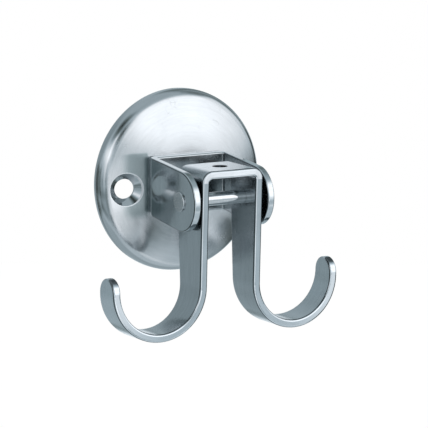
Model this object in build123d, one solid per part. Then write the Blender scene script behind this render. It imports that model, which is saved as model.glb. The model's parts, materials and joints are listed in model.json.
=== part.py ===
"""Swinging double wall hook: dished base disc, clevis bracket, pivot pin and a bent double hook.

Frame: millimetres, +Z up, the wall is the plane y = 0 and the hook stands out along -Y.
The origin is the centre of the base disc on the wall.
"""
import os
from math import acos, asin, atan, atan2, cos, degrees, hypot, radians, sin, tan

from build123d import *

# Base disc: a dished pressing, hollow behind.
disc_radius = 30.0
disc_height = 8.0
disc_sheet = 1.5
shoulder_radius = 4.4
shoulder_centre_height = 1.0
seat_radius = 9.0

# Screw holes left and right of the bracket.
screw_spacing = 42.6
screw_drop = 1.1
screw_hole_diameter = 6.5
countersink_diameter = 11.0
countersink_angle = 90.0
hole_land = 0.5

# Clevis bracket: a web on the disc and two ears that carry the pin.
bracket_width = 29.4
bracket_sheet = 2.4
bracket_bend_inside = 0.6
web_height = 19.0
ear_radius = 9.7
sheet_edge_radius = 0.5

# Pivot pin, riveted over outside both ears.
pin_reach = 29.5
pin_drop = 2.3
pin_diameter = 4.4
pin_head_diameter = 6.4
pin_head_height = 0.6
pin_head_edge_radius = 0.25

# Rivets that hold the web on the disc, side by side behind the hook.
rivet_diameter = 3.0
rivet_spacing = 7.0
rivet_head_diameter = 5.6
rivet_head_height = 1.1

# Double hook: one tapered strap bent to an inverted U whose legs curl outwards and up.
strap_thickness = 2.6
strap_width_bridge = 17.8
strap_width_curl_end = 9.6
strap_edge_radius = 0.6
leg_side_gap = 1.2
bridge_rise = 10.35
bridge_bend_outside = 3.8
leg_end_drop = 27.3
curl_radius = 13.8
tip_rise = 4.85
bridge_hole_diameter = 5.0

# Fits, cutting overrun and the distance below which two places are the same.
fixed_fit_clearance = 0.02
running_clearance = 0.08
overrun = 1.0
same_place = 0.001

# Shares without a unit, and the smallest turn between two faces that counts as a corner.
head_land_share = 0.35
envelope_thickness_share = 1.8
corner_angle = 20.0

os.makedirs("parts", exist_ok=True)


def arc_points(centre, radius, start_deg, end_deg):
    """Start, middle and end point of an arc about a centre."""
    turns = (start_deg, (start_deg + end_deg) / 2, end_deg)
    return [
        (centre[0] + radius * cos(radians(turn)), centre[1] + radius * sin(radians(turn)))
        for turn in turns
    ]


def closed_face(*edges):
    """Flat face inside a closed chain of edges."""
    return Face(Wire(edges))


def button(radius, height):
    """Low domed head that stands on the plane z = 0 round the z axis."""
    land = head_land_share * height
    cap_radius = (radius**2 + (height - land) ** 2) / (height - land) / 2
    half_way = asin(radius / cap_radius) / 2
    middle = (cap_radius * sin(half_way), height - cap_radius + cap_radius * cos(half_way))
    profile = closed_face(
        Line((0, 0), (radius, 0)),
        Line((radius, 0), (radius, land)),
        ThreePointArc((radius, land), middle, (0, height)),
        Line((0, height), (0, 0)),
    )
    return revolve(Plane.XZ * profile, axis=Axis.Z)


def sharp_edges(body):
    """Edges where two faces of the body meet at a corner."""
    found = []
    for edge in body.edges():
        middle = edge @ 0.5
        beside = [face for face in body.faces() if any(edge.is_same(own) for own in face.edges())]
        if len(beside) < 2:
            continue
        if beside[0].normal_at(middle).get_angle(beside[1].normal_at(middle)) > corner_angle:
            found.append(edge)
    return found


# The dome arc leaves the flat seat level and runs into the shoulder arc without a corner.
shoulder_centre = (disc_radius - shoulder_radius, shoulder_centre_height)
dome_run = shoulder_centre[0] - seat_radius
dome_rise = disc_height - shoulder_centre_height
dome_radius = (dome_run**2 + dome_rise**2 - shoulder_radius**2) / (dome_rise - shoulder_radius) / 2
dome_centre = (seat_radius, disc_height - dome_radius)
blend_deg = degrees(atan2(shoulder_centre[1] - dome_centre[1], shoulder_centre[0] - dome_centre[0]))


def dish(inset):
    """Solid dome of the disc, drawn in by the inset everywhere but at the wall."""
    shoulder = arc_points(shoulder_centre, shoulder_radius - inset, 0, blend_deg)
    dome = arc_points(dome_centre, dome_radius - inset, blend_deg, 90)
    profile = closed_face(
        Line((0, 0), (disc_radius - inset, 0)),
        Line((disc_radius - inset, 0), shoulder[0]),
        ThreePointArc(*shoulder),
        ThreePointArc(*dome),
        Line(dome[2], (0, disc_height - inset)),
        Line((0, disc_height - inset), (0, 0)),
    )
    return Rot(180, 90, 0) * revolve(profile, axis=Axis.Y)


# A screw hole runs square to the wall. Its countersink stands square to the dome.
screw_x = screw_spacing / 2
screw_reach = hypot(screw_x, screw_drop)
screw_turn = degrees(atan2(screw_drop, screw_x))
hole_radius = screw_hole_diameter / 2
sink_radius = countersink_diameter / 2
sink_slope = tan(radians(countersink_angle / 2))
sink_depth = (sink_radius - hole_radius) / sink_slope
dome_tilt = asin((screw_reach - seat_radius) / dome_radius)
sink_reach = screw_reach + sink_depth * sin(dome_tilt)
sink_height = dome_centre[1] + dome_radius * cos(asin((sink_reach - seat_radius) / dome_radius))
sink_cut = Pos(0, 0, -sink_depth / 2) * Cone(hole_radius, sink_radius, sink_depth)
sink_cut += Pos(0, 0, overrun / 2) * Cone(sink_radius, sink_radius + overrun * sink_slope, overrun)
collar = Pos(0, 0, -sink_depth / 2 - hole_land) * Cone(
    hole_radius + disc_sheet, sink_radius + disc_sheet, sink_depth
)
drill = Rot(90, 0, 0) * Cylinder(hole_radius, 2 * (disc_height + overrun))
dome_body = dish(0)
base_disc = dome_body - dish(disc_sheet)
for side in (-1, 1):
    sink_place = Rot(0, side * screw_turn, 0) * Pos(side * sink_reach, -sink_height, 0)
    sink_place = sink_place * Rot(90, 0, 0) * Rot(0, side * degrees(dome_tilt), 0)
    base_disc += (sink_place * collar) & dome_body
    base_disc -= sink_place * sink_cut
    base_disc -= Pos(side * screw_x, 0, -screw_drop) * drill

# Bracket: the U seen from above, cut to the ear outline seen from the side.
web_front = disc_height + bracket_sheet
ear_end = pin_reach + ear_radius
blank_height = 2 * (web_height + ear_radius)
channel = Pos(0, -(disc_height + ear_end) / 2, 0) * Box(
    bracket_width, ear_end - disc_height, blank_height
)
channel = fillet(
    channel.edges().filter_by(Axis.Z).group_by(Axis.Y)[-1], bracket_bend_inside + bracket_sheet
)
slot = Pos(0, -(web_front + ear_end + overrun) / 2, 0) * Box(
    bracket_width - 2 * bracket_sheet, ear_end + overrun - web_front, blank_height + overrun
)
slot = fillet(slot.edges().filter_by(Axis.Z).group_by(Axis.Y)[-1], bracket_bend_inside)


def touch_point(corner, upper):
    """Where the straight line from a corner of the web touches the round end of the ear."""
    away = (corner[0] - pin_reach, corner[1] + pin_drop)
    turn = atan2(away[1], away[0]) - upper * acos(ear_radius / hypot(*away))
    return (pin_reach + ear_radius * cos(turn), ear_radius * sin(turn) - pin_drop)


web_top = (disc_height, web_height / 2)
web_foot = (disc_height, -web_height / 2)
top_touch = touch_point(web_top, 1)
foot_touch = touch_point(web_foot, -1)
ear_face = closed_face(
    Line(web_foot, web_top),
    Line(web_top, top_touch),
    ThreePointArc(top_touch, (ear_end, -pin_drop), foot_touch),
    Line(foot_touch, web_foot),
)
# The side plane has its first axis along -Y and its second along +Z.
side_plane = Plane(origin=(0, 0, 0), x_dir=(0, -1, 0), z_dir=(-1, 0, 0))
pivot_bracket = (channel - slot) & extrude(side_plane * ear_face, amount=bracket_width, both=True)
pivot_bracket = fillet(sharp_edges(pivot_bracket), sheet_edge_radius)

# Pin along X through both ears, with a low flat head formed outside each ear.
pin_place = Pos(0, -pin_reach, -pin_drop) * Rot(0, 90, 0)
pin_radius = pin_diameter / 2
pin_head = Cylinder(pin_head_diameter / 2, pin_head_height)
pin_head = fillet(pin_head.edges().sort_by(Axis.Z)[-1], pin_head_edge_radius)
pin_head = Pos(0, 0, (bracket_width + pin_head_height) / 2) * pin_head
pivot_pin = pin_place * (
    Cylinder(pin_radius, bracket_width) + pin_head + Rot(180, 0, 0) * pin_head
)
pivot_bracket -= pin_place * Cylinder(pin_radius + fixed_fit_clearance, bracket_width + overrun)

# Rivets through the web and the disc, headed inside the bracket and behind the disc.
rivet_grip = bracket_sheet + disc_sheet
rivet_head = Pos(0, 0, rivet_grip / 2) * button(rivet_head_diameter / 2, rivet_head_height)
rivet = Cylinder(rivet_diameter / 2, rivet_grip) + rivet_head + Rot(180, 0, 0) * rivet_head
rivet_bore = Cylinder(rivet_diameter / 2 + fixed_fit_clearance, rivet_grip + overrun)
rivets = []
for side in (-1, 1):
    rivet_place = Pos(side * rivet_spacing / 2, rivet_grip / 2 - web_front, 0) * Rot(90, 0, 0)
    rivets.append(rivet_place * rivet)
    pivot_bracket -= rivet_place * rivet_bore
    base_disc -= rivet_place * rivet_bore
bracket_rivets = Compound(rivets)

# Hook: half of the strap, drawn from the middle of the bridge to the end of the curl.
hook_width = bracket_width - 2 * (bracket_sheet + leg_side_gap)
leg_x = hook_width / 2
bridge_z = bridge_rise - pin_drop
bend_x = leg_x - bridge_bend_outside
bend_z = bridge_z - bridge_bend_outside
leg_end_z = -pin_drop - leg_end_drop
curl_x = leg_x + curl_radius
tip_x = curl_x + curl_radius


def strap_line(depth):
    """Front view line of the half strap at a depth below its outward face."""
    bend = arc_points((bend_x, bend_z), bridge_bend_outside - depth, 90, 0)
    curl = arc_points((curl_x, leg_end_z), curl_radius + depth, 180, 360)
    return Wire(
        [
            Line((0, bridge_z - depth), bend[0]),
            ThreePointArc(*bend),
            Line(bend[2], curl[0]),
            ThreePointArc(*curl),
        ]
    )


front_plane = Plane(origin=(0, -pin_reach, 0), x_dir=(1, 0, 0), z_dir=(0, -1, 0))
outward = strap_line(0)
inward = strap_line(strap_thickness)
strap_profile = closed_face(
    *outward.edges(),
    Line(outward @ 1, inward @ 1),
    *inward.edges(),
    Line(inward @ 0, outward @ 0),
)
strap_prism = extrude(front_plane * strap_profile, amount=strap_width_bridge, both=True)

# A thicker band swept along the strap narrows evenly and trims the prism to the taper.
strap_middle = front_plane * strap_line(strap_thickness / 2)
band_ends = []
for share, width in ((0, strap_width_bridge), (1, strap_width_curl_end)):
    end_plane = Plane(strap_middle @ share, x_dir=(0, 1, 0), z_dir=strap_middle % share)
    band_ends.append(end_plane * Rectangle(width, strap_thickness * envelope_thickness_share))
half_hook = strap_prism & sweep(band_ends, path=strap_middle, multisection=True)

# The tip goes on with the taper and ends in a full round.
taper = (strap_width_bridge - strap_width_curl_end) / strap_middle.length / 2
flank = atan(taper)
tip_half = strap_width_curl_end / 2
tip_round = (tip_half - taper * tip_rise) * cos(flank) / (1 - taper * cos(flank))
round_z = leg_end_z + tip_rise - tip_round
flank_end = (tip_round * cos(flank), round_z + tip_round * sin(flank))
tip_face = closed_face(
    Line((-tip_half, leg_end_z), (tip_half, leg_end_z)),
    Line((tip_half, leg_end_z), flank_end),
    ThreePointArc(flank_end, (0, leg_end_z + tip_rise), (-flank_end[0], flank_end[1])),
    Line((-flank_end[0], flank_end[1]), (-tip_half, leg_end_z)),
)
tip_plane = Plane(origin=(tip_x, -pin_reach, 0), x_dir=(0, 1, 0), z_dir=(1, 0, 0))
half_hook += extrude(tip_plane * tip_face, amount=strap_thickness)
outer_edges = [edge for edge in sharp_edges(half_hook) if (edge @ 0.5).X > same_place]
half_hook = fillet(outer_edges, strap_edge_radius)
double_hook = half_hook + mirror(half_hook, about=Plane.YZ)
double_hook -= pin_place * Cylinder(pin_radius + running_clearance, hook_width + overrun)
double_hook -= Pos(0, -pin_reach, bridge_z) * Cylinder(
    bridge_hole_diameter / 2, 2 * (strap_thickness + overrun)
)

nodes = {
    "base_disc": base_disc,
    "pivot_bracket": pivot_bracket,
    "bracket_rivets": bracket_rivets,
    "pivot_pin": pivot_pin,
    "double_hook": double_hook,
}
for name, shape in nodes.items():
    export_step(shape, f"parts/{name}.step")
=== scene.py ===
"""Looks, studio and camera of the swinging double wall hook.

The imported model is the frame: metres, +Z up, the wall is the plane y = 0, the hook stands out
along -Y and the origin is the centre of the base disc on the wall. The finishes work in
millimetres in the same frame.
"""
import json
import logging
import math
from dataclasses import dataclass
from enum import Enum

import bpy
import numpy as np
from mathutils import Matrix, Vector

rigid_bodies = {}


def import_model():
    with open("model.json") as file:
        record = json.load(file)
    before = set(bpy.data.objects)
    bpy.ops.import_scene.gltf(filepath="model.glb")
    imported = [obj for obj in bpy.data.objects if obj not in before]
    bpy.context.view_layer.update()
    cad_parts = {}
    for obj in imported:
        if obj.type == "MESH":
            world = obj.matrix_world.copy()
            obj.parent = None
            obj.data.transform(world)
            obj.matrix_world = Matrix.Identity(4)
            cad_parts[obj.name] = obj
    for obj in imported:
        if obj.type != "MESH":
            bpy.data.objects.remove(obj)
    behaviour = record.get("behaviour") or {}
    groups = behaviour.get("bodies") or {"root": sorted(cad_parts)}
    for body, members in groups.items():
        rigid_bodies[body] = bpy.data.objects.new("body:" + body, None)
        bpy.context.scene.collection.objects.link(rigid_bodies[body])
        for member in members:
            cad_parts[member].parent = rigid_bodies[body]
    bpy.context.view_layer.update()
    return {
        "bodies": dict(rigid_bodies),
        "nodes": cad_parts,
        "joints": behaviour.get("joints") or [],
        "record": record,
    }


LOG = logging.getLogger("wall_hook")
MM = 0.001
WHITE_COLOUR = (1.0, 1.0, 1.0, 1.0)
Socket = bpy.types.NodeSocket
Span = tuple[float, float]


class Room(Enum):
    """Brightness of the plain parts of the room, where 1 is white."""

    WALLS = 0.425
    DARKEST = 0.03
    WHITE = 1.0


def direction(turn: float, rise: float) -> Vector:
    """Direction from the hook into the room.

    Args:
        turn: Degrees to the right of the line straight out from the wall.
        rise: Degrees above the level.

    Returns:
        The direction, of length 1.
    """
    turn, rise = math.radians(turn), math.radians(rise)
    level = math.cos(rise)
    return Vector((math.sin(turn) * level, -math.cos(turn) * level, math.sin(rise)))


@dataclass(frozen=True)
class NodeTree:
    """Short hand for building one node tree.

    Attributes:
        tree: The tree that the nodes go into.
    """

    tree: bpy.types.NodeTree

    @classmethod
    def emptied(cls, owner: bpy.types.Material | bpy.types.World) -> "NodeTree":
        """Start the node tree of a material or world afresh.

        Args:
            owner: The material or world.

        Returns:
            The builder of its tree.
        """
        owner.use_nodes = True
        owner.node_tree.nodes.clear()
        return cls(owner.node_tree)

    def add(self, kind: str, **settings: object) -> bpy.types.Node:
        """Add a node.

        Args:
            kind: Blender's name of the node type.
            **settings: Attributes to set on the node.

        Returns:
            The new node.
        """
        node = self.tree.nodes.new(kind)
        for name, value in settings.items():
            setattr(node, name, value)
        return node

    def feed(self, target: Socket, source: object) -> None:
        """Link a socket to a target socket, or set the target's value.

        Args:
            target: Input socket.
            source: Output socket, number or tuple.
        """
        if isinstance(source, Socket):
            self.tree.links.new(source, target)
        else:
            target.default_value = source

    def math(self, operation: str, *values: object) -> Socket:
        """Scalar math on sockets or numbers.

        Args:
            operation: Blender's name of the operation.
            *values: One to three sockets or numbers.

        Returns:
            The result socket.
        """
        node = self.add("ShaderNodeMath", operation=operation)
        for socket, value in zip(node.inputs, values):
            self.feed(socket, value)
        return node.outputs[0]

    def total(self, *values: object) -> Socket:
        """Add sockets or numbers.

        Args:
            *values: Two or more of them.

        Returns:
            Their sum.
        """
        result = values[0]
        for value in values[1:]:
            result = self.math("ADD", result, value)
        return result

    def product(self, *values: object) -> Socket:
        """Multiply sockets or numbers.

        Args:
            *values: Two or more of them.

        Returns:
            Their product.
        """
        result = values[0]
        for value in values[1:]:
            result = self.math("MULTIPLY", result, value)
        return result

    def minus(self, value: object, other: object) -> Socket:
        """Take one socket or number from another.

        Args:
            value: What the other is taken from.
            other: What is taken away.

        Returns:
            The difference.
        """
        return self.math("SUBTRACT", value, other)

    def rest(self, share: object) -> Socket:
        """What a share leaves of 1.

        Args:
            share: Share from 0 to 1.

        Returns:
            The other share.
        """
        return self.minus(1.0, share)

    def size(self, value: object) -> Socket:
        """Value without its sign.

        Args:
            value: Socket.

        Returns:
            Its absolute value.
        """
        return self.math("ABSOLUTE", value)

    def length(self, *values: Socket) -> Socket:
        """Length of a vector.

        Args:
            *values: Its parts.

        Returns:
            The square root of the sum of their squares.
        """
        return self.math("SQRT", self.total(*(self.product(value, value) for value in values)))

    def ramp(self, value: object, low: float, high: float, start: float = 0.0,
             end: float = 1.0) -> Socket:
        """Map a value smoothly from one range to another, held at both ends.

        Args:
            value: Socket to map.
            low: Value that gives the start; it may be above the other one.
            high: Value that gives the end.
            start: Result at the first value.
            end: Result at the second value.

        Returns:
            The mapped socket.
        """
        node = self.add("ShaderNodeMapRange", interpolation_type="SMOOTHSTEP")
        for name, item in zip(
            ("Value", "From Min", "From Max", "To Min", "To Max"), (value, low, high, start, end)
        ):
            self.feed(node.inputs[name], item)
        return node.outputs["Result"]

    def blend(self, share: object, first: object, second: object) -> Socket:
        """Blend two values evenly.

        Args:
            share: Share of the second value.
            first: Result at 0.
            second: Result at 1.

        Returns:
            The blended socket.
        """
        node = self.add("ShaderNodeMix", data_type="FLOAT")
        for socket, value in zip(node.inputs, (share, None, first, second)):
            if value is not None:
                self.feed(socket, value)
        return node.outputs[0]

    def parts(self, vector: Socket) -> tuple:
        """Split a vector.

        Args:
            vector: The vector.

        Returns:
            Its X, Y and Z sockets.
        """
        node = self.add("ShaderNodeSeparateXYZ")
        self.feed(node.inputs[0], vector)
        return tuple(node.outputs)

    def vector(self, x: object, y: object, z: object) -> Socket:
        """Join three sockets or numbers.

        Args:
            x: First part.
            y: Second part.
            z: Third part.

        Returns:
            The vector.
        """
        node = self.add("ShaderNodeCombineXYZ")
        for socket, value in zip(node.inputs, (x, y, z)):
            self.feed(socket, value)
        return node.outputs[0]

    def stretch(self, vector: object, factor: object) -> Socket:
        """Multiply a vector by a number.

        Args:
            vector: Socket or tuple.
            factor: Socket or number.

        Returns:
            The stretched vector.
        """
        node = self.add("ShaderNodeVectorMath", operation="SCALE")
        self.feed(node.inputs[0], vector)
        self.feed(node.inputs["Scale"], factor)
        return node.outputs[0]

    def along(self, way: Socket, axis: Vector | tuple) -> Socket:
        """How far a direction goes along an axis.

        Args:
            way: Direction.
            axis: Axis of length 1.

        Returns:
            The dot product of both.
        """
        node = self.add("ShaderNodeVectorMath", operation="DOT_PRODUCT")
        self.feed(node.inputs[0], way)
        self.feed(node.inputs[1], axis)
        return node.outputs["Value"]

    def noise(self, vector: Socket, scale: object, detail: float, roughness: float) -> Socket:
        """Fractal noise value at a place.

        Args:
            vector: Place.
            scale: Features per unit of length.
            detail: Number of finer layers.
            roughness: Weight of the finer layers.

        Returns:
            The noise value, about 0.5 on average.
        """
        node = self.add("ShaderNodeTexNoise")
        self.feed(node.inputs["Vector"], vector)
        self.feed(node.inputs["Scale"], scale)
        node.inputs["Detail"].default_value = detail
        node.inputs["Roughness"].default_value = roughness
        return node.outputs["Fac"]


class SharedGroups:
    """Shader node groups that several finishes use, each built once.

    Attributes:
        lines: Polishing lines.
        marks: Handling marks.
    """

    FINE_LINES = {"detail": 5.0, "roughness": 0.68}
    BROAD_LINES = {"detail": 2.0, "roughness": 0.5}
    BROAD_SCALE = 0.21
    FINE_SHARE, BROAD_SHARE = 0.6, 0.4
    LINE_RANGE: Span = (0.33, 0.67)
    CLOUDS = {"detail": 3.0, "roughness": 0.5}
    CLOUD_RANGE: Span = (0.38, 0.66)
    SCUFFS = {"detail": 4.0, "roughness": 0.7}
    SCUFF_RANGE: Span = (0.56, 0.74)
    SCUFFED_CLOUDS: Span = (0.45, 0.6)
    SLOW = {"scale": 0.16, "detail": 1.0, "roughness": 0.4}
    HAIRLINE_LEVEL, HAIRLINE_WIDTH = 0.52, 0.0035
    BREAKS = {"scale": 0.5, "detail": 2.0, "roughness": 0.6}
    BREAK_RANGE: Span = (0.46, 0.56)

    def __init__(self) -> None:
        """Build all groups."""
        self.lines = self.build_lines()
        self.marks = self.build_marks()

    @staticmethod
    def new_group(name: str, inputs: dict, outputs: tuple) -> tuple:
        """Make an empty group with named sockets.

        Args:
            name: Name of the group.
            inputs: Default value of each input by name; None stands for a vector.
            outputs: Names of the value outputs.

        Returns:
            The group, its builder, its input node and its output node.
        """
        group = bpy.data.node_groups.new(name, "ShaderNodeTree")
        for title, value in inputs.items():
            kind = "NodeSocketVector" if value is None else "NodeSocketFloat"
            socket = group.interface.new_socket(name=title, in_out="INPUT", socket_type=kind)
            if value is not None:
                socket.default_value = value
        for title in outputs:
            group.interface.new_socket(name=title, in_out="OUTPUT", socket_type="NodeSocketFloat")
        build = NodeTree(group)
        return group, build, build.add("NodeGroupInput"), build.add("NodeGroupOutput")

    def build_lines(self) -> bpy.types.NodeTree:
        """Polishing lines: noise drawn out along the third coordinate of the given place.

        Returns:
            A group with the outputs Tone, from 0 to 1, and Height, from 0 to 1.
        """
        group, build, entry, leave = self.new_group(
            "polishing_lines", {"Place": None, "Lines": 6.0, "Run": 0.12}, ("Tone", "Height")
        )
        x, y, z = build.parts(entry.outputs["Place"])
        drawn = build.vector(x, y, build.product(z, entry.outputs["Run"]))
        scale = entry.outputs["Lines"]
        fine = build.noise(drawn, scale, **self.FINE_LINES)
        broad = build.noise(drawn, build.product(scale, self.BROAD_SCALE), **self.BROAD_LINES)
        tone = build.total(
            build.product(fine, self.FINE_SHARE), build.product(broad, self.BROAD_SHARE)
        )
        build.feed(leave.inputs["Tone"], build.ramp(tone, *self.LINE_RANGE))
        build.feed(leave.inputs["Height"], fine)
        return group

    def build_marks(self) -> bpy.types.NodeTree:
        """Handling marks: broad soft clouds, small scuffs inside them and fine hairlines.

        A hairline lies where a slow noise passes one value, so it is long, thin and curved.

        Returns:
            A group with the outputs Cloud, Scuff and Hairline, all from 0 to 1.
        """
        group, build, entry, leave = self.new_group(
            "handling_marks", {"Place": None, "Clouds": 0.09, "Scuffs": 0.8},
            ("Cloud", "Scuff", "Hairline"),
        )
        place = entry.outputs["Place"]
        cloud = build.noise(place, entry.outputs["Clouds"], **self.CLOUDS)
        scuff = build.noise(place, entry.outputs["Scuffs"], **self.SCUFFS)
        away = build.size(build.minus(build.noise(place, **self.SLOW), self.HAIRLINE_LEVEL))
        broken = build.ramp(build.noise(place, **self.BREAKS), *self.BREAK_RANGE)
        outputs = {
            "Cloud": build.ramp(cloud, *self.CLOUD_RANGE),
            "Scuff": build.product(
                build.ramp(scuff, *self.SCUFF_RANGE), build.ramp(cloud, *self.SCUFFED_CLOUDS)
            ),
            "Hairline": build.product(build.ramp(away, self.HAIRLINE_WIDTH, 0.0), broken),
        }
        for name, value in outputs.items():
            build.feed(leave.inputs[name], value)
        return group


@dataclass(frozen=True)
class Surface(NodeTree):
    """Node tree of a material, with the sockets that say where a point of the object lies.

    Attributes:
        x: Place along X, millimetres.
        y: Place along Y, millimetres.
        z: Place along Z, millimetres.
        facing_x: X share of the surface's own direction.
        facing_y: Y share of the surface's own direction.
    """

    x: Socket
    y: Socket
    z: Socket
    facing_x: Socket
    facing_y: Socket

    @classmethod
    def read(cls, build: NodeTree) -> "Surface":
        """Read the place in object space and turn it to millimetres.

        Args:
            build: Builder of the material's tree.

        Returns:
            The same tree with the place and direction.
        """
        entry = build.add("ShaderNodeTexCoord")
        place = build.stretch(entry.outputs["Object"], 1 / MM)
        facing_x, facing_y, _ = build.parts(entry.outputs["Normal"])
        return cls(build.tree, *build.parts(place), facing_x, facing_y)


@dataclass(frozen=True)
class Zone:
    """Part of a node's surface that is finished in another way.

    Attributes:
        steps: For each of its borders, the name of a place or direction in Surface, and the
            values of it where the zone starts and where it is full. A name with side_ before
            it is taken without its sign. A zone without steps gets its share elsewhere.
        tone: Tone factor in the zone.
        rough: Roughness that the zone adds.
    """

    steps: tuple = ()
    tone: float = 1.0
    rough: float = 0.0

    def share(self, spot: Surface) -> Socket:
        """How far a point lies in the zone.

        Args:
            spot: Where the point lies.

        Returns:
            1 inside, 0 outside.
        """
        shares = []
        for name, start, full in self.steps:
            value = getattr(spot, name.removeprefix("side_"))
            value = spot.size(value) if name.startswith("side_") else value
            shares.append(spot.ramp(value, start, full))
        return spot.product(*shares)


@dataclass(frozen=True)
class SteelFinish:
    """Stainless steel with polishing lines, handling marks and edges that wear bright.

    Attributes:
        name: Name of the material.
        colour: Reflected colour, linear.
        roughness: Roughness between the marks.
        lines: Polishing lines for each millimetre.
        run: Length share of the lines; smaller is longer.
        tone_spread: Share by which the lines darken and lighten the colour.
        rough_spread: Roughness that lines and clouds add.
        line_depth: Depth of the lines, millimetres.
        worn_share: Share by which worn edges are brighter.
        worn_along: Direction in Surface that turns over on the worn edges.
        across: Share by which the rings spread the gloss across them, for turned finishes.
        across_turn: Share of a full turn from along the rings to across them.
        painted_edge_reflection_share: Share by which half of the rounded edges beside the wide
            faces is painted darker as their reflection.
        painted_edge_reflection_rise: Squares of the direction's share where the dark half starts
            and is full.
        painted_edge_reflection_fall: Squares of the direction's share where it ends and where it
            is still full.
        edge_peak: Products of both squares, times 4, where an edge starts and is full.
        hairline_tone: Tone factor of a hairline.
        hairline_depth: Depth of a hairline in depths of the lines.
        scuff_rough: Roughness that scuffs add.
        hairline_rough: Roughness that hairlines add.
        least_rough: Least roughness.
    """

    name: str
    colour: tuple
    roughness: float
    lines: float = 5.0
    run: float = 0.06
    tone_spread: float = 0.06
    rough_spread: float = 0.05
    line_depth: float = 0.0006
    worn_share: float = 0.12
    worn_along: str = ""
    across: float = 0.0
    across_turn: float = 0.25
    painted_edge_reflection_share: float = 0.75
    painted_edge_reflection_rise: Span = (0.01, 0.06)
    painted_edge_reflection_fall: Span = (0.62, 0.42)
    edge_peak: Span = (0.3, 0.95)
    hairline_tone: float = 0.9
    hairline_depth: float = 0.8
    scuff_rough: float = 0.06
    hairline_rough: float = 0.08
    least_rough: float = 0.03

    def place(self, spot: Surface) -> Socket:
        """Coordinates whose third axis runs along the polishing lines.

        Args:
            spot: Where the point lies.

        Returns:
            The vector, in millimetres.
        """
        return spot.vector(spot.x, spot.y, spot.z)

    def wear(self, spot: Surface) -> object:
        """Worn edges, where the surface turns over from its chosen direction to another.

        Args:
            spot: Where the point lies.

        Returns:
            1 on a worn edge, 0 elsewhere.
        """
        if not self.worn_along:
            return 0.0
        share = getattr(spot, self.worn_along)
        square = spot.product(share, share)
        return spot.ramp(spot.product(4.0, square, spot.rest(square)), *self.edge_peak)

    def temper(self, spot: Surface) -> tuple:
        """Places that are finished in another way.

        Args:
            spot: Where the point lies.

        Returns:
            Tone factor and added roughness.
        """
        return 1.0, 0.0

    def hue(self, spot: Surface) -> object:
        """Reflected colour before lines, marks and wear change it.

        Args:
            spot: Where the point lies.

        Returns:
            The colour.
        """
        return self.colour

    def painted_edge_reflection(self, spot: Surface) -> object:
        """Painted reflection: the dark half of the rounded edges.

        Args:
            spot: Where the point lies.

        Returns:
            1 where the edge is dark, 0 elsewhere.
        """
        return 0.0

    def lean(self, spot: Surface) -> object:
        """Height that buffing adds to the flat faces.

        Args:
            spot: Where the point lies.

        Returns:
            The height, in millimetres.
        """
        return 0.0

    def dark_half(self, spot: Surface, square: Socket) -> Socket:
        """Half of a rounded edge beside the wide face, which is painted dark as its reflection.

        Args:
            spot: Where the point lies.
            square: Square of the direction's share across the wide face's own.

        Returns:
            1 on the half where the square is small, 0 elsewhere.
        """
        return spot.product(spot.ramp(square, *self.painted_edge_reflection_rise), spot.ramp(square, *self.painted_edge_reflection_fall))

    @staticmethod
    def joined(spot: Surface, *pairs: tuple) -> tuple:
        """Join the looks of several zones.

        Args:
            spot: Where the point lies.
            *pairs: Each zone and the point's share in it.

        Returns:
            Tone factor and added roughness.
        """
        tones = [spot.ramp(share, 0.0, 1.0, 1.0, zone.tone) for zone, share in pairs]
        roughs = [spot.product(share, zone.rough) for zone, share in pairs]
        return spot.product(*tones), spot.total(*roughs)

    def material(self, groups: SharedGroups) -> bpy.types.Material:
        """Build the material.

        Args:
            groups: Shared node groups.

        Returns:
            The finished material.
        """
        made = bpy.data.materials.new(self.name)
        spot = Surface.read(NodeTree.emptied(made))
        shader = spot.add("ShaderNodeBsdfPrincipled")
        spot.feed(spot.add("ShaderNodeOutputMaterial").inputs["Surface"], shader.outputs["BSDF"])
        shader.inputs["Metallic"].default_value = 1.0
        if self.across:
            shader.inputs["Anisotropic"].default_value = self.across
            shader.inputs["Anisotropic Rotation"].default_value = self.across_turn
            rings = spot.add("ShaderNodeTangent", direction_type="RADIAL", axis="Y")
            spot.feed(shader.inputs["Tangent"], rings.outputs["Tangent"])
        lines = spot.add("ShaderNodeGroup", node_tree=groups.lines)
        spot.feed(lines.inputs["Place"], self.place(spot))
        lines.inputs["Lines"].default_value = self.lines
        lines.inputs["Run"].default_value = self.run
        marks = spot.add("ShaderNodeGroup", node_tree=groups.marks)
        spot.feed(marks.inputs["Place"], spot.vector(spot.x, spot.y, spot.z))
        line_tone, hairline = lines.outputs["Tone"], marks.outputs["Hairline"]
        tone_factor, added = self.temper(spot)
        tone = spot.product(
            spot.ramp(line_tone, 0.0, 1.0, 1 - self.tone_spread, 1 + self.tone_spread),
            tone_factor,
            spot.total(1.0, spot.product(self.wear(spot), self.worn_share)),
            spot.ramp(hairline, 0.0, 1.0, 1.0, self.hairline_tone),
            # painted reflection: half of the rounded edges is drawn darker
            spot.rest(spot.product(self.painted_edge_reflection(spot), self.painted_edge_reflection_share)),
        )
        spot.feed(shader.inputs["Base Color"], spot.stretch(self.hue(spot), tone))
        rough = spot.total(
            self.roughness,
            spot.product(line_tone, self.rough_spread / 2),
            spot.product(marks.outputs["Cloud"], self.rough_spread),
            spot.product(marks.outputs["Scuff"], self.scuff_rough),
            spot.product(hairline, self.hairline_rough),
            added,
        )
        spot.feed(shader.inputs["Roughness"], spot.math("MAXIMUM", rough, self.least_rough))
        bump = spot.add("ShaderNodeBump")
        bump.inputs["Strength"].default_value = 1.0
        bump.inputs["Distance"].default_value = self.line_depth * MM
        spot.feed(bump.inputs["Height"], spot.total(
            lines.outputs["Height"], spot.product(hairline, -self.hairline_depth),
            spot.product(self.lean(spot), 1 / self.line_depth),
        ))
        spot.feed(shader.inputs["Normal"], bump.outputs["Normal"])
        return made


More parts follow.
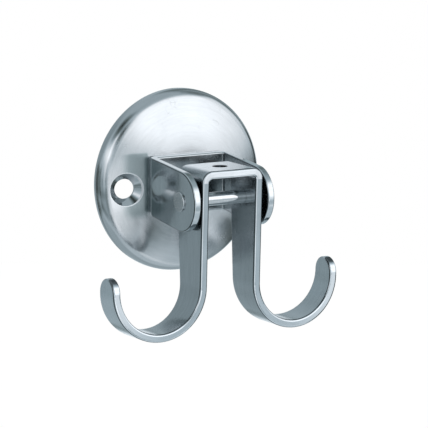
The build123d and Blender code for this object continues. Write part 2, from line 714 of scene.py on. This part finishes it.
@dataclass(frozen=True)
class DiscFinish(SteelFinish):
    """Rings round the disc, countersinks cut bright, and a duller pressed back.

    Attributes:
        screw_x: Distance of the screw holes from the middle, millimetres.
        screw_z: Height of the screw holes, millimetres.
        sink_radius: Radius of the countersinks, millimetres.
        sink_border: Distances from a hole's middle where its countersink ends and is full.
        sink_wear: Distances from that radius where its worn edge ends and is full.
        sink_scales: Line scale away from a hole's middle and round it.
        ring_scale: Line scale round the disc's middle.
        rim_wear: Places along Y where the worn rim starts and is full, millimetres.
        painted_ear_reflection: Place between the left hole and the ear that is painted darker as
            the ear's reflection; it shows on the back of the disc too.
        painted_ear_reflection_red: Factor for red in that painted reflection.
        back: Back of the disc.
        shoulder: Steep ring round the dome.
        shoulder_share: Share by which the shoulder is as smooth as a countersink.
        smooth: Roughness of a countersink.
    """

    screw_x: float = 21.3
    screw_z: float = -1.1
    sink_radius: float = 5.5
    sink_border: Span = (5.6, 5.45)
    sink_wear: Span = (0.3, 0.05)
    sink_scales: Span = (2.0, 5.0)
    ring_scale: float = 20.0
    rim_wear: Span = (-0.9, -0.1)
    # painted reflection: the ear's dark reflection is painted onto the disc beside it
    painted_ear_reflection: Zone = Zone((
        ("x", -24.7, -18.7), ("x", -13.7, -14.7), ("z", 11.2, 9.7), ("z", -12.7, -7.7)
    ), tone=0.57)
    painted_ear_reflection_red: float = 0.89
    back: Zone = Zone((("facing_y", 0.1, 0.4),), tone=0.82, rough=0.2)
    shoulder: Zone = Zone((("facing_y", -0.95, -0.75),))
    shoulder_share: float = 0.6
    smooth: float = 0.05

    def sink(self, spot: Surface) -> tuple:
        """Place in or near the nearer screw hole.

        Args:
            spot: Where the point lies.

        Returns:
            Distance from the hole's middle, turn round it, and 1 inside its countersink.
        """
        x = spot.minus(spot.size(spot.x), self.screw_x)
        z = spot.minus(spot.z, self.screw_z)
        reach = spot.length(x, z)
        return reach, spot.math("ARCTAN2", z, x), spot.ramp(reach, *self.sink_border)

    def place(self, spot: Surface) -> Socket:
        """Rings round the disc's middle, and round each hole inside its countersink.

        Args:
            spot: Where the point lies.

        Returns:
            The vector, in millimetres.
        """
        reach, turn, inside = self.sink(spot)
        away_scale, turn_scale = self.sink_scales
        radius = spot.blend(inside, spot.length(spot.x, spot.z), spot.product(reach, away_scale))
        ring = spot.product(spot.math("ARCTAN2", spot.z, spot.x), self.ring_scale)
        return spot.vector(
            radius, spot.y, spot.blend(inside, ring, spot.product(turn, turn_scale))
        )

    def wear(self, spot: Surface) -> Socket:
        """Worn rim, where the disc meets the wall, and worn edges of the countersinks.

        Args:
            spot: Where the point lies.

        Returns:
            1 on a worn edge, 0 elsewhere.
        """
        away = spot.size(spot.minus(self.sink(spot)[0], self.sink_radius))
        rim = spot.ramp(spot.y, *self.rim_wear)
        return spot.math("MAXIMUM", rim, spot.ramp(away, *self.sink_wear))

    def painted_ear_reflection_share(self, spot: Surface) -> Socket:
        """How far a point lies in the painted reflection of the ear and outside the countersink.

        Args:
            spot: Where the point lies.

        Returns:
            1 inside, 0 outside.
        """
        return spot.product(self.painted_ear_reflection.share(spot), spot.rest(self.sink(spot)[2]))

    def hue(self, spot: Surface) -> Socket:
        """The steel's own colour, and a colder grey in the painted reflection of the ear.

        Args:
            spot: Where the point lies.

        Returns:
            The colour.
        """
        red, green, blue = self.colour
        # colder grey of the ear's painted reflection
        reflection_red = spot.ramp(self.painted_ear_reflection_share(spot), 0.0, 1.0, red, red * self.painted_ear_reflection_red)
        return spot.vector(reflection_red, green, blue)

    def temper(self, spot: Surface) -> tuple:
        """The shoulder and countersinks are smoother, the back darker, and the ear's painted
        reflection darker still.

        Args:
            spot: Where the point lies.

        Returns:
            Tone factor and added roughness.
        """
        shoulder = spot.product(self.shoulder.share(spot), self.shoulder_share)
        smoother = spot.math("MAXIMUM", self.sink(spot)[2], shoulder)
        return self.joined(
            spot, (self.back, self.back.share(spot)), (self.painted_ear_reflection, self.painted_ear_reflection_share(spot)),
            (Zone(rough=self.smooth - self.roughness), smoother),
        )


@dataclass(frozen=True)
class BracketFinish(SteelFinish):
    """Upright lines on the faces and short cross lines on the sheared edges.

    Attributes:
        web: Web on the disc, up to a little in front of it.
        ears: Ears in front of the web.
        inside: Room between the ears, rougher and painted darker as shade.
        edge: Sheared edges of the sheet.
        edge_share: Shares of the direction where a sheared edge ends and is full.
    """

    web: Zone = Zone((("y", -11.9, -10.9),))
    ears: Zone = Zone((("y", -10.4, -11.4),))
    inside: Zone = Zone((("side_x", 12.4, 12.0), ("y", -10.2, -10.6)), tone=0.85, rough=0.13)
    edge: Zone = Zone(tone=1.2, rough=-0.03)
    edge_share: Span = (0.8, 0.4)

    def sheared(self, spot: Surface) -> Socket:
        """Edges of the sheet.

        Args:
            spot: Where the point lies.

        Returns:
            1 on the edges, 0 on the faces of the ears and the web.
        """
        web = spot.product(spot.size(spot.facing_y), self.web.share(spot))
        face = spot.math("MAXIMUM", spot.size(spot.facing_x), web)
        return spot.ramp(face, *self.edge_share)

    def place(self, spot: Surface) -> Socket:
        """Lines run upright on the faces and across the sheet on its edges.

        Args:
            spot: Where the point lies.

        Returns:
            The vector, in millimetres.
        """
        edge = self.sheared(spot)
        return spot.vector(
            spot.blend(edge, spot.x, spot.z), spot.y, spot.blend(edge, spot.z, spot.x)
        )

    def painted_edge_reflection(self, spot: Surface) -> Socket:
        """Half of each ear's rounded edges beside its faces, painted dark as their reflection.

        Args:
            spot: Where the point lies.

        Returns:
            1 where the edge is dark, 0 elsewhere.
        """
        square = spot.rest(spot.product(spot.facing_x, spot.facing_x))
        return spot.product(self.dark_half(spot, square), self.ears.share(spot))

    def temper(self, spot: Surface) -> tuple:
        """The sheared edges are brighter, and the inside is less smooth and painted darker as
        shade between the ears.

        Args:
            spot: Where the point lies.

        Returns:
            Tone factor and added roughness.
        """
        edge = self.sheared(spot)
        # painted shade between the ears, with real added roughness
        inside = spot.product(self.inside.share(spot), spot.rest(edge))
        return self.joined(spot, (self.edge, edge), (self.inside, inside))


@dataclass(frozen=True)
class PinFinish(SteelFinish):
    """Turning lines round the shaft and facing rings on the heads.

    Attributes:
        reach: Distance of the pin from the wall, millimetres.
        drop: Distance of the pin below the middle, millimetres.
        line_scales: Line scale away from the axis and round it.
        head: Flat heads.
    """

    reach: float = 29.5
    drop: float = 2.3
    line_scales: Span = (1.4, 3.0)
    head: Zone = Zone((("side_facing_x", 0.6, 0.9),), tone=0.97, rough=0.14)

    def place(self, spot: Surface) -> Socket:
        """Lines run round the axis on the shaft and on the heads.

        Args:
            spot: Where the point lies.

        Returns:
            The vector, in millimetres.
        """
        y, z = spot.total(spot.y, self.reach), spot.total(spot.z, self.drop)
        away_scale, turn_scale = self.line_scales
        return spot.vector(
            spot.x, spot.product(spot.length(y, z), away_scale),
            spot.product(spot.math("ARCTAN2", z, y), turn_scale),
        )

    def temper(self, spot: Surface) -> tuple:
        """The flat heads are riveted over and less smooth than the shaft.

        Args:
            spot: Where the point lies.

        Returns:
            Tone factor and added roughness.
        """
        return self.joined(spot, (self.head, self.head.share(spot)))


@dataclass(frozen=True)
class StrapFinish(SteelFinish):
    """Long lines that follow the strap over the bridge, down the legs and round the curls.

    Attributes:
        leg_x: Distance of the legs' outer faces from the middle, millimetres.
        bridge_z: Height of the bridge's top, millimetres.
        bend_radius: Outside radius of the bridge's bends, millimetres.
        leg_end_z: Height at which the legs run into the curls, millimetres.
        curl_radius: Radius of the curls on their inner side, millimetres.
        curl_border: Border between legs and curls, millimetres.
        tip_border: Border between curls and tips, millimetres.
        least_height: Least height in a bend from which its turn is measured, millimetres.
        front: Front of the bridge.
        bridge_lean: Slope by which the front of the bridge faces up.
        wide: Wide faces.
        top: Top of the bridge, painted brighter as a highlight.
        back: Narrow faces on the wall's side.
        back_tone: Tone factor of the back.
        tip_x: Distances from the middle where the tips start and are full, millimetres.
        wide_tones: Tone factors of the wide faces before the tips, and of the tips' painted
            highlight.
        curl_z: Heights where the curls end and where the legs are full, millimetres.
        narrow_tones: Tone factors of the narrow faces, on the curls' painted highlight and above
            it.
    """

    leg_x: float = 11.1
    bridge_z: float = 8.05
    bend_radius: float = 3.8
    leg_end_z: float = -29.6
    curl_radius: float = 13.8
    curl_border: Span = (-0.01, 0.01)
    tip_border: Span = (-0.1, 0.1)
    least_height: float = 0.0001
    front: Zone = Zone((("facing_y", -0.7, -0.95), ("y", -36.9, -37.4)))
    bridge_lean: float = 0.10
    wide: Zone = Zone((("side_facing_y", 0.5, 0.1),), rough=0.09)
    top: Zone = Zone((("z", 7.45, 7.85),), tone=1.25)
    back: Zone = Zone((("facing_y", 0.1, 0.5),), rough=0.1)
    back_tone: float = 0.84
    tip_x: Span = (30.0, 37.0)
    wide_tones: Span = (0.98, 1.25)
    curl_z: Span = (-20.0, -8.0)
    narrow_tones: Span = (1.19, 1.04)

    def place(self, spot: Surface) -> Socket:
        """Width, depth and length of the strap.

        The bridge, bend and leg share one formula, in which the place right of and above the
        bend's centre is measured as an angle. The curl is measured as an angle about its own
        centre, and the tip goes on straight.

        Args:
            spot: Where the point lies.

        Returns:
            The vector, in millimetres.
        """
        bend_x, bend_z = self.leg_x - self.bend_radius, self.bridge_z - self.bend_radius
        curl_x = self.leg_x + self.curl_radius
        curl_start = self.bend_radius * math.pi / 2 + bend_z - self.leg_end_z
        tip_start = curl_start + math.pi * self.curl_radius
        aside = spot.size(spot.x)
        right, above = spot.minus(aside, bend_x), spot.minus(spot.z, bend_z)
        out, high = spot.math("MAXIMUM", right, 0.0), spot.math("MAXIMUM", above, 0.0)
        turn = spot.math("ARCTAN2", out, spot.math("MAXIMUM", high, self.least_height))
        length = spot.total(
            spot.math("MINIMUM", right, 0.0), spot.product(turn, self.bend_radius),
            spot.product(spot.math("MINIMUM", above, 0.0), -1.0),
        )
        depth = spot.minus(spot.length(out, high), self.bend_radius)
        inward, below = spot.minus(curl_x, aside), spot.minus(self.leg_end_z, spot.z)
        curled = spot.ramp(below, *self.curl_border)
        drop = spot.math("MAXIMUM", below, 0.0)
        sweep = spot.product(spot.math("ARCTAN2", drop, inward), self.curl_radius)
        length = spot.blend(curled, length, spot.total(sweep, curl_start))
        depth = spot.blend(
            curled, depth, spot.minus(self.curl_radius, spot.length(inward, drop))
        )
        tip = spot.product(
            spot.ramp(spot.minus(aside, curl_x), *self.tip_border), spot.rest(curled)
        )
        length = spot.blend(tip, length, spot.minus(tip_start, below))
        depth = spot.blend(tip, depth, spot.total(inward, self.curl_radius))
        return spot.vector(spot.y, depth, length)

    def painted_edge_reflection(self, spot: Surface) -> Socket:
        """Half of the rounded edges beside the wide faces, painted dark as their reflection.

        Args:
            spot: Where the point lies.

        Returns:
            1 where the edge is dark, 0 elsewhere.
        """
        return self.dark_half(spot, spot.product(spot.facing_y, spot.facing_y))

    def lean(self, spot: Surface) -> Socket:
        """The front of the bridge is buffed down towards its top, so that it faces up a little.

        Args:
            spot: Where the point lies.

        Returns:
            The height, in millimetres.
        """
        high = spot.math("MAXIMUM", spot.minus(spot.z, self.bridge_z - self.bend_radius), 0.0)
        return spot.product(self.front.share(spot), high, -self.bridge_lean)

    def temper(self, spot: Surface) -> tuple:
        """The narrow faces are buffed and the wide ones keep a soft grain.

        The bridge's top, the front of the curls and the tips are painted brighter as highlights.
        The back is ground and not buffed.

        Args:
            spot: Where the point lies.

        Returns:
            Tone factor and added roughness.
        """
        wide, back = self.wide.share(spot), self.back.share(spot)
        # painted highlights: the bridge's top, the front of the curls and the tips are drawn
        # brighter
        top = spot.product(wide, self.top.share(spot))
        narrow_tone = spot.blend(
            back, spot.ramp(spot.z, *self.curl_z, *self.narrow_tones), self.back_tone
        )
        wide_tone = spot.ramp(spot.size(spot.x), *self.tip_x, *self.wide_tones)
        tone, rough = self.joined(spot, (self.wide, wide), (self.top, top), (self.back, back))
        return spot.product(tone, spot.blend(wide, narrow_tone, wide_tone)), rough


@dataclass(frozen=True)
class CarriedPart:
    """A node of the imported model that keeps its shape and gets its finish.

    Attributes:
        node: Name of the node.
        finish: Finish of the node.
    """

    node: str
    finish: SteelFinish

    def dress(self, frame: dict, groups: SharedGroups) -> None:
        """Give the node its material.

        Args:
            frame: Loaded frame.
            groups: Shared node groups.
        """
        mesh = frame["nodes"][self.node].data
        material = self.finish.material(groups)
        if not mesh.materials:
            mesh.materials.append(material)
        for index in range(len(mesh.materials)):
            mesh.materials[index] = material
        LOG.info("%s wears %s", self.node, self.finish.name)


@dataclass
class WallBase:
    """All that stays on the wall.

    Attributes:
        disc: Base disc.
        bracket: Clevis bracket.
        rivets: Rivets that hold the bracket on the disc.
        pin: Pivot pin.
    """

    disc: CarriedPart = CarriedPart("base_disc", DiscFinish(
        "satin_disc_steel", colour=(0.55, 0.57, 0.585), roughness=0.17, lines=4.5, run=0.08,
        tone_spread=0.035, rough_spread=0.05, line_depth=0.0004, across=0.8,
    ))
    bracket: CarriedPart = CarriedPart("pivot_bracket", BracketFinish(
        "upright_polished_steel", colour=(0.47, 0.50, 0.515), roughness=0.10,
        worn_along="facing_x",
    ))
    rivets: CarriedPart = CarriedPart("bracket_rivets", SteelFinish(
        "rivet_steel", colour=(0.46, 0.485, 0.50), roughness=0.18
    ))
    pin: CarriedPart = CarriedPart("pivot_pin", PinFinish(
        "bright_pin_steel", colour=(0.59, 0.60, 0.61), roughness=0.06, worn_along="facing_x"
    ))

    def build(self, frame: dict, groups: SharedGroups) -> None:
        """Dress each fixed node.

        Args:
            frame: Loaded frame.
            groups: Shared node groups.
        """
        for part in (self.disc, self.bracket, self.rivets, self.pin):
            part.dress(frame, groups)


@dataclass
class SwingingHook:
    """All that turns on the pin.

    Attributes:
        strap: Double hook.
    """

    strap: CarriedPart = CarriedPart("double_hook", StrapFinish(
        "polished_strap_steel", colour=(0.475, 0.505, 0.525), roughness=0.055,
        worn_along="facing_y",
    ))

    def build(self, frame: dict, groups: SharedGroups) -> None:
        """Dress the strap.

        Args:
            frame: Loaded frame.
            groups: Shared node groups.
        """
        self.strap.dress(frame, groups)


@dataclass(frozen=True)
class SoftPanel:
    """Soft-edged patch of the room round the hook: a softbox, a pale card or a dark cloth.

    Attributes:
        name: What the patch is.
        turn: Degrees to the right of the line straight out from the wall.
        rise: Degrees above the level.
        width: Width as seen from the hook, degrees.
        height: Height as seen from the hook, degrees.
        edge: Width of its soft border, degrees.
        glow: Brightness that it adds to the room, below zero for a dark cloth.
    """

    name: str
    turn: float
    rise: float
    width: float
    height: float
    edge: float
    glow: float

    def shine(self, build: NodeTree, way: Socket) -> Socket:
        """Brightness that the patch adds in a direction.

        The direction is measured as an angle sideways from the patch's middle and an angle up
        from it. The brightness falls to zero across the border in each of them.

        Args:
            build: Builder of the world's tree.
            way: Direction.

        Returns:
            The added brightness.
        """
        turn = math.radians(self.turn)
        out = direction(self.turn, self.rise)
        side = Vector((math.cos(turn), math.sin(turn), 0.0))
        ahead, aside, above = (
            build.along(way, axis) for axis in (out, side, side.cross(out) * -1)
        )
        sideways = build.math("ARCTAN2", aside, ahead)
        upward = build.math("ARCTAN2", above, build.length(ahead, aside))
        inside = self.glow
        for angle, size in ((sideways, self.width), (upward, self.height)):
            near, far = (math.radians(size + part) / 2 for part in (-self.edge, self.edge))
            inside = build.product(build.ramp(build.size(angle), far, near), inside)
        return inside


@dataclass
class Studio:
    """Pale floor, white backdrop, soft light and the camera.

    Attributes:
        floor_drop: Depth of the floor below the origin, metres.
        floor_size: Radius of the floor, metres.
        floor_rings: Rings of faces in the floor.
        floor_spokes: Faces round the floor.
        floor_colour: Colour of the floor.
        floor_white: Share of white that the camera sees in the floor.
        floor_glow: Brightness of that white.
        backdrop: Direction in which the camera looks, where the white backdrop stands.
        backdrop_edges: Degrees from it at which the backdrop starts to fade and has gone.
        red_ramp: Brightness span of the room, and its factors for red there.
        blue_ramp: Brightness span of the dim parts, and their factors for blue.
        blue_drop: Brightness span of the softboxes, and what they add to the factor for blue.
        view_turn: Degrees of the camera to the right of the line straight out from the wall.
        view_rise: Degrees of the camera above the level.
        view_distance: Distance of the camera from its target, metres.
        view_target: Point that the camera turns to, metres.
        view_scale: Pixels for each millimetre at the target.
        view_shift: Shift of the picture, pixels.
        view_size: Width of the picture, pixels.
        sensor: Width of the sensor, millimetres.
        clip: Nearest and farthest distance that the camera sees, metres.
        panels: Softboxes, cards and cloths round the hook. Most of their values are the output
            of a least-squares fit to the photo's brightness; the others were set one by one.
    """

    floor_drop: float = 0.32
    floor_size: float = 1.6
    floor_rings: int = 12
    floor_spokes: int = 96
    floor_colour: tuple = (0.86, 0.86, 0.87, 1.0)
    floor_white: float = 0.97
    floor_glow: float = 1.02
    backdrop: tuple = (0.489, 0.856, -0.166)
    backdrop_edges: Span = (12.0, 22.0)
    red_ramp: tuple = (0.15, 1.5, 0.80, 0.98)
    blue_ramp: tuple = (0.05, 0.45, 0.98, 1.08)
    blue_drop: tuple = (0.6, 1.4, 0.0, -0.05)
    view_turn: float = -29.72
    view_rise: float = 9.56
    view_distance: float = 1.097
    view_target: tuple = (0.0, -0.020, -0.010)
    view_scale: float = 3.096
    view_shift: Span = (8.77, 3.57)
    view_size: int = 428
    sensor: float = 36.0
    clip: Span = (0.05, 20.0)
    panels: tuple = (
        SoftPanel("main_softbox", 32.9, -1.2, 45.4, 20.3, 23.8, 0.92),
        SoftPanel("upper_softbox", 22.0, 25.7, 52.2, 41.2, 23.3, 1.31),
        SoftPanel("left_softbox", -47.0, 25.2, 11.5, 23.5, 9.5, 1.12),
        SoftPanel("right_wall", 124.7, 67.6, 89.6, 129.4, 20.4, 0.15),
        SoftPanel("right_card", 69.8, 18.0, 39.2, 44.0, 12.0, 0.78),
        SoftPanel("left_wall", -65.8, 9.8, 64.8, 64.9, 56.3, 1.14),
        SoftPanel("left_card", -10.7, -16.5, 35.1, 39.1, 13.6, 1.20),
        SoftPanel("left_strip", 3.5, -13.7, 25.9, 5.0, 15.7, 1.50),
        SoftPanel("low_lamp", 40.9, -24.3, 14.5, 16.2, 6.7, 0.69),
        SoftPanel("back_card", 120.9, 14.8, 12.3, 76.1, 8.0, 0.20),
        SoftPanel("table_front", 32.5, -44.1, 37.9, 29.1, 8.0, 0.30),
        SoftPanel("table_left", -35.4, -33.4, 63.5, 8.0, 25.8, 0.48),
        SoftPanel("table_middle", 9.7, -90.0, 140.5, 102.6, 10.5, 0.31),
        SoftPanel("backdrop_foot", 156.1, -17.6, 80.6, 30.9, 27.9, 0.53),
        SoftPanel("dark_cloth_high", -67.9, 46.9, 35.6, 30.3, 23.9, -0.80),
        SoftPanel("dark_cloth_level", -35.7, -19.9, 93.5, 44.4, 26.6, -0.55),
        SoftPanel("dark_cloth_low", -61.3, -26.5, 71.7, 25.0, 12.1, -0.35),
        SoftPanel("dark_cloth_left", -81.8, 3.6, 39.1, 29.8, 19.9, -0.62),
        SoftPanel("dark_cloth_slope", -28.4, 29.7, 31.5, 16.2, 21.6, -0.79),
        SoftPanel("dark_cloth_near", -45.5, 13.1, 11.7, 38.6, 6.0, -0.48),
        SoftPanel("dark_cloth_right", 112.0, -14.3, 110.0, 46.7, 8.0, -0.36),
        SoftPanel("dark_cloth_middle", 15.0, -10.0, 14.0, 26.0, 8.0, -0.42),
        SoftPanel("dark_cloth_far_left", -116.0, -12.0, 54.0, 40.0, 8.0, -0.32),
        SoftPanel("dark_cloth_low_right", 76.3, -26.9, 76.1, 56.6, 6.0, -0.29),
        SoftPanel("dark_cloth_high_right", 115.0, 36.0, 56.0, 50.0, 18.0, -0.34),
        SoftPanel("dark_cloth_low_back", -164.1, -55.8, 89.3, 66.1, 11.8, -0.20),
    )

    def floor_mesh(self) -> bpy.types.Mesh:
        """Round disc: points at (radius cos turn, radius sin turn) at one height.

        Returns:
            The mesh.
        """
        rings, spokes = self.floor_rings, self.floor_spokes
        radius = np.linspace(0.0, self.floor_size, rings + 1)[1:, None]
        turn = np.linspace(0, 2 * math.pi, spokes, endpoint=False)[None, :]
        height = np.full((rings, spokes), -self.floor_drop)
        grid = np.stack([radius * np.cos(turn), radius * np.sin(turn), height], axis=-1)
        points = np.vstack([[0, 0, -self.floor_drop], grid.reshape(-1, 3)])
        k = np.arange(spokes)
        following = (k + 1) % spokes
        faces = np.stack([np.zeros(spokes, int), 1 + k, 1 + following], axis=1).tolist()
        for ring in range(rings - 1):
            inner, outer = 1 + ring * spokes, 1 + (ring + 1) * spokes
            corners = [inner + k, outer + k, outer + following, inner + following]
            faces += np.stack(corners, axis=1).tolist()
        mesh = bpy.data.meshes.new("studio_floor")
        mesh.from_pydata(points.tolist(), [], faces)
        return mesh

    def build_floor(self) -> None:
        """Floor that is matte for the light, nearly white for the camera and not mirrored."""
        mesh = self.floor_mesh()
        floor = bpy.data.objects.new("studio_floor", mesh)
        bpy.context.scene.collection.objects.link(floor)
        made = bpy.data.materials.new("pale_floor")
        build = NodeTree.emptied(made)
        matte = build.add("ShaderNodeBsdfDiffuse")
        matte.inputs["Color"].default_value = self.floor_colour
        white = build.add("ShaderNodeEmission")
        white.inputs["Color"].default_value = WHITE_COLOUR
        white.inputs["Strength"].default_value = self.floor_glow
        mix = build.add("ShaderNodeMixShader")
        path = build.add("ShaderNodeLightPath")
        build.feed(mix.inputs[0], build.product(path.outputs["Is Camera Ray"], self.floor_white))
        build.feed(mix.inputs[1], matte.outputs[0])
        build.feed(mix.inputs[2], white.outputs[0])
        build.feed(build.add("ShaderNodeOutputMaterial").inputs[0], mix.outputs[0])
        mesh.materials.append(made)
        floor.visible_glossy = False

    def build_world(self) -> None:
        """White for the camera; for the steel, the softboxes, the room and the white backdrop.

        The dim parts of the room are cooler in colour than the softboxes.
        """
        world = bpy.data.worlds.new("studio_room")
        bpy.context.scene.world = world
        build = NodeTree.emptied(world)
        way = build.add("ShaderNodeTexCoord").outputs["Generated"]
        room = build.total(Room.WALLS.value, *(panel.shine(build, way) for panel in self.panels))
        room = build.math("MAXIMUM", room, Room.DARKEST.value)
        full, gone = (math.cos(math.radians(edge)) for edge in self.backdrop_edges)
        rays = build.add("ShaderNodeLightPath").outputs
        mirrored = build.product(
            build.ramp(build.along(way, self.backdrop), gone, full), rays["Is Glossy Ray"]
        )
        seen = build.math("MAXIMUM", rays["Is Camera Ray"], rays["Is Transmission Ray"])
        strength = build.blend(mirrored, room, Room.WHITE.value)
        strength = build.blend(seen, strength, Room.WHITE.value)
        tint = build.vector(
            build.ramp(strength, *self.red_ramp), 1.0,
            build.total(
                build.ramp(strength, *self.blue_ramp), build.ramp(strength, *self.blue_drop)
            ),
        )
        colour = build.add("ShaderNodeMix", data_type="RGBA")
        build.feed(colour.inputs["Factor"], seen)
        build.feed(colour.inputs["A"], tint)
        build.feed(colour.inputs["B"], WHITE_COLOUR)
        background = build.add("ShaderNodeBackground")
        build.feed(background.inputs["Color"], colour.outputs["Result"])
        build.feed(background.inputs["Strength"], strength)
        build.feed(build.add("ShaderNodeOutputWorld").inputs[0], background.outputs[0])

    def build_camera(self) -> None:
        """Camera at the viewing angle of the picture."""
        away = direction(self.view_turn, self.view_rise)
        shift_x, shift_y = self.view_shift
        data = bpy.data.cameras.new("view")
        data.sensor_width = self.sensor
        data.lens = self.view_scale * self.view_distance / MM / self.view_size * self.sensor
        data.shift_x, data.shift_y = shift_x / self.view_size, shift_y / self.view_size
        data.clip_start, data.clip_end = self.clip
        camera = bpy.data.objects.new("view", data)
        camera.location = Vector(self.view_target) + away * self.view_distance
        camera.rotation_euler = away.to_track_quat("Z", "Y").to_euler()
        bpy.context.scene.collection.objects.link(camera)
        bpy.context.scene.camera = camera

    def build(self) -> None:
        """Build the whole studio."""
        self.build_floor()
        self.build_world()
        self.build_camera()
        bpy.context.scene.view_settings.view_transform = "Standard"
        LOG.info("studio has %d soft panels", len(self.panels))


def main() -> None:
    """Build the hook's looks and the studio."""
    logging.basicConfig(level=logging.INFO, format="%(message)s")
    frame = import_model()
    groups = SharedGroups()
    WallBase().build(frame, groups)
    SwingingHook().build(frame, groups)
    Studio().build()


if __name__ == "__main__":
    main()
